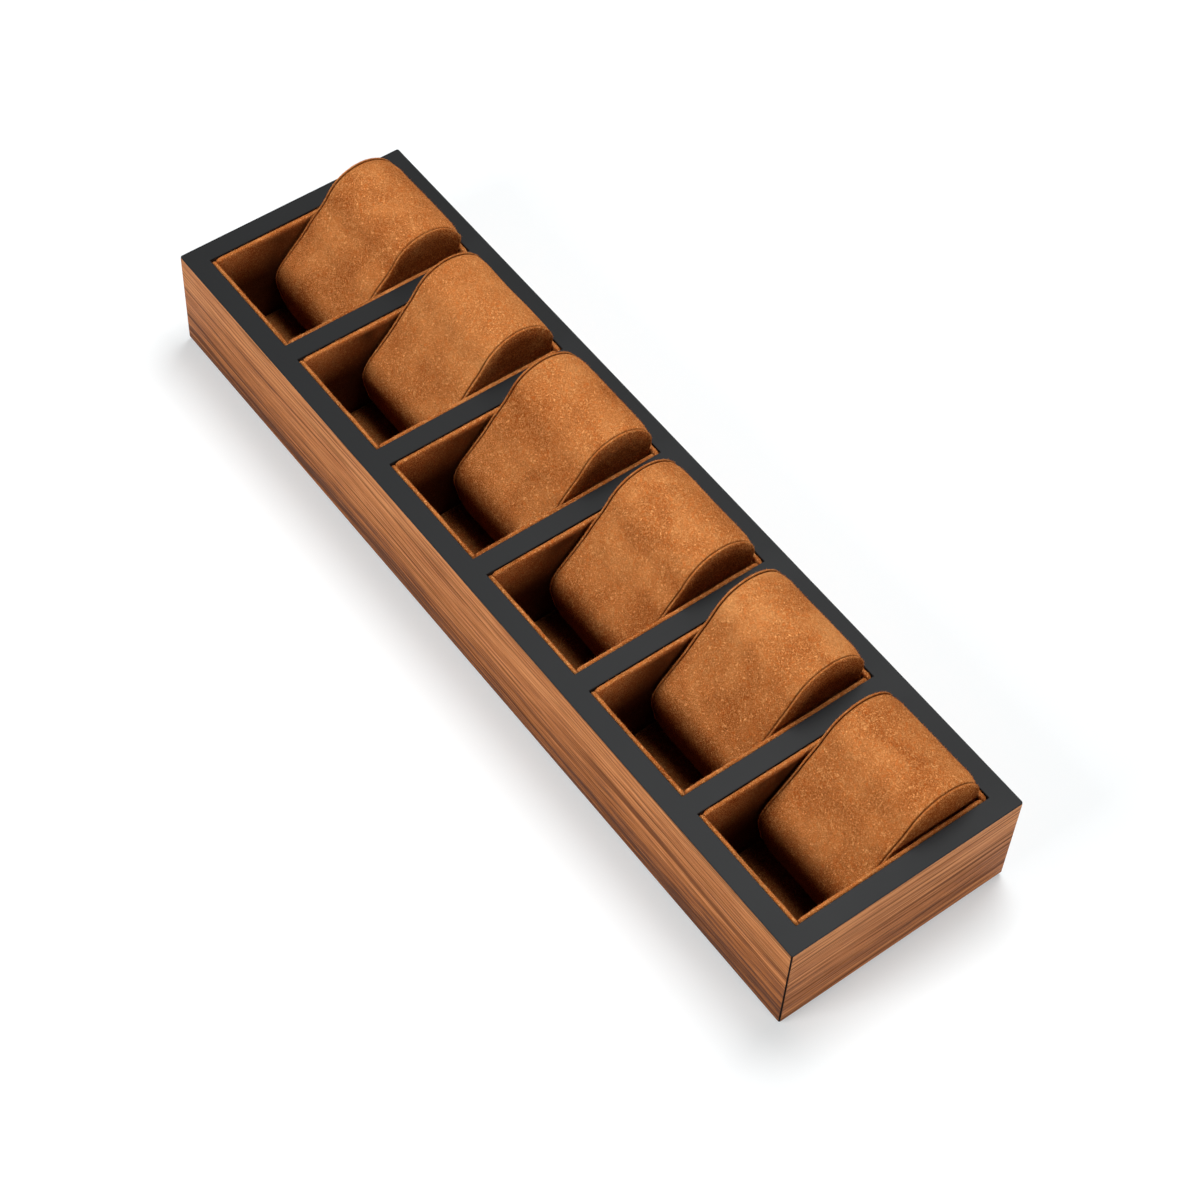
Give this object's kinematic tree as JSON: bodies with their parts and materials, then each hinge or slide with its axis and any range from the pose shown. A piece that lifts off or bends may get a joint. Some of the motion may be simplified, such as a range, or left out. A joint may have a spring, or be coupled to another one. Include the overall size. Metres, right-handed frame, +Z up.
{
  "type": "watch display tray",
  "caption": "Long open wooden tray with a row of suede-lined compartments, each holding a removable curved watch pillow under a flat black frame.",
  "frame": {"origin": "middle of the underside, where the tray stands on its felt", "axes": "+X along the row of compartments, +Y from the open front of the compartments to the pillows' backs, +Z up"},
  "size_m": [0.405, 0.11, 0.0718],
  "materials": {
    "black_board": "black-stained board, bare where it shows",
    "walnut": "satin-lacquered walnut veneer, grain along each side",
    "black_plate": "fine matte charcoal",
    "fibreboard": "bare fibreboard",
    "base_felt": "thin dark pressed felt",
    "suede": "caramel microsuede with a short brushed nap",
    "foam": "open-cell foam"
  },
  "bodies": {
    "tray": {"front_rail": "black_board", "back_rail": "black_board", "left_end_rail": "black_board", "right_end_rail": "black_board", "front_veneer": "walnut", "back_veneer": "walnut", "left_end_veneer": "walnut", "right_end_veneer": "walnut", "top_frame": "black_plate", "base_panel": "fibreboard", "base_felt": "base_felt", "divider_1": "black_board", "divider_2": "black_board", "divider_3": "black_board", "divider_4": "black_board", "divider_5": "black_board", "front_liner_1": "suede", "back_liner_1": "suede", "side_liners_1": "suede", "floor_pad_1": "suede", "front_liner_2": "suede", "back_liner_2": "suede", "side_liners_2": "suede", "floor_pad_2": "suede", "front_liner_3": "suede", "back_liner_3": "suede", "side_liners_3": "suede", "floor_pad_3": "suede", "front_liner_4": "suede", "back_liner_4": "suede", "side_liners_4": "suede", "floor_pad_4": "suede", "front_liner_5": "suede", "back_liner_5": "suede", "side_liners_5": "suede", "floor_pad_5": "suede", "front_liner_6": "suede", "back_liner_6": "suede", "side_liners_6": "suede", "floor_pad_6": "suede"},
    "pillow_1": {"pillow_foam_1": "foam", "pillow_wrap_1": "suede", "pillow_cheeks_1": "suede"},
    "pillow_2": {"pillow_foam_2": "foam", "pillow_wrap_2": "suede", "pillow_cheeks_2": "suede"},
    "pillow_3": {"pillow_foam_3": "foam", "pillow_wrap_3": "suede", "pillow_cheeks_3": "suede"},
    "pillow_4": {"pillow_foam_4": "foam", "pillow_wrap_4": "suede", "pillow_cheeks_4": "suede"},
    "pillow_5": {"pillow_foam_5": "foam", "pillow_wrap_5": "suede", "pillow_cheeks_5": "suede"},
    "pillow_6": {"pillow_foam_6": "foam", "pillow_wrap_6": "suede", "pillow_cheeks_6": "suede"}
  },
  "joints": [
    {"name": "pillow_1_lift", "type": "slide", "parent": "tray", "child": "pillow_1", "axis": [0, 0, 1], "range_m": [0, 0.08]},
    {"name": "pillow_2_lift", "type": "slide", "parent": "tray", "child": "pillow_2", "axis": [0, 0, 1], "range_m": [0, 0.08]},
    {"name": "pillow_3_lift", "type": "slide", "parent": "tray", "child": "pillow_3", "axis": [0, 0, 1], "range_m": [0, 0.08]},
    {"name": "pillow_4_lift", "type": "slide", "parent": "tray", "child": "pillow_4", "axis": [0, 0, 1], "range_m": [0, 0.08]},
    {"name": "pillow_5_lift", "type": "slide", "parent": "tray", "child": "pillow_5", "axis": [0, 0, 1], "range_m": [0, 0.08]},
    {"name": "pillow_6_lift", "type": "slide", "parent": "tray", "child": "pillow_6", "axis": [0, 0, 1], "range_m": [0, 0.08]}
  ]
}
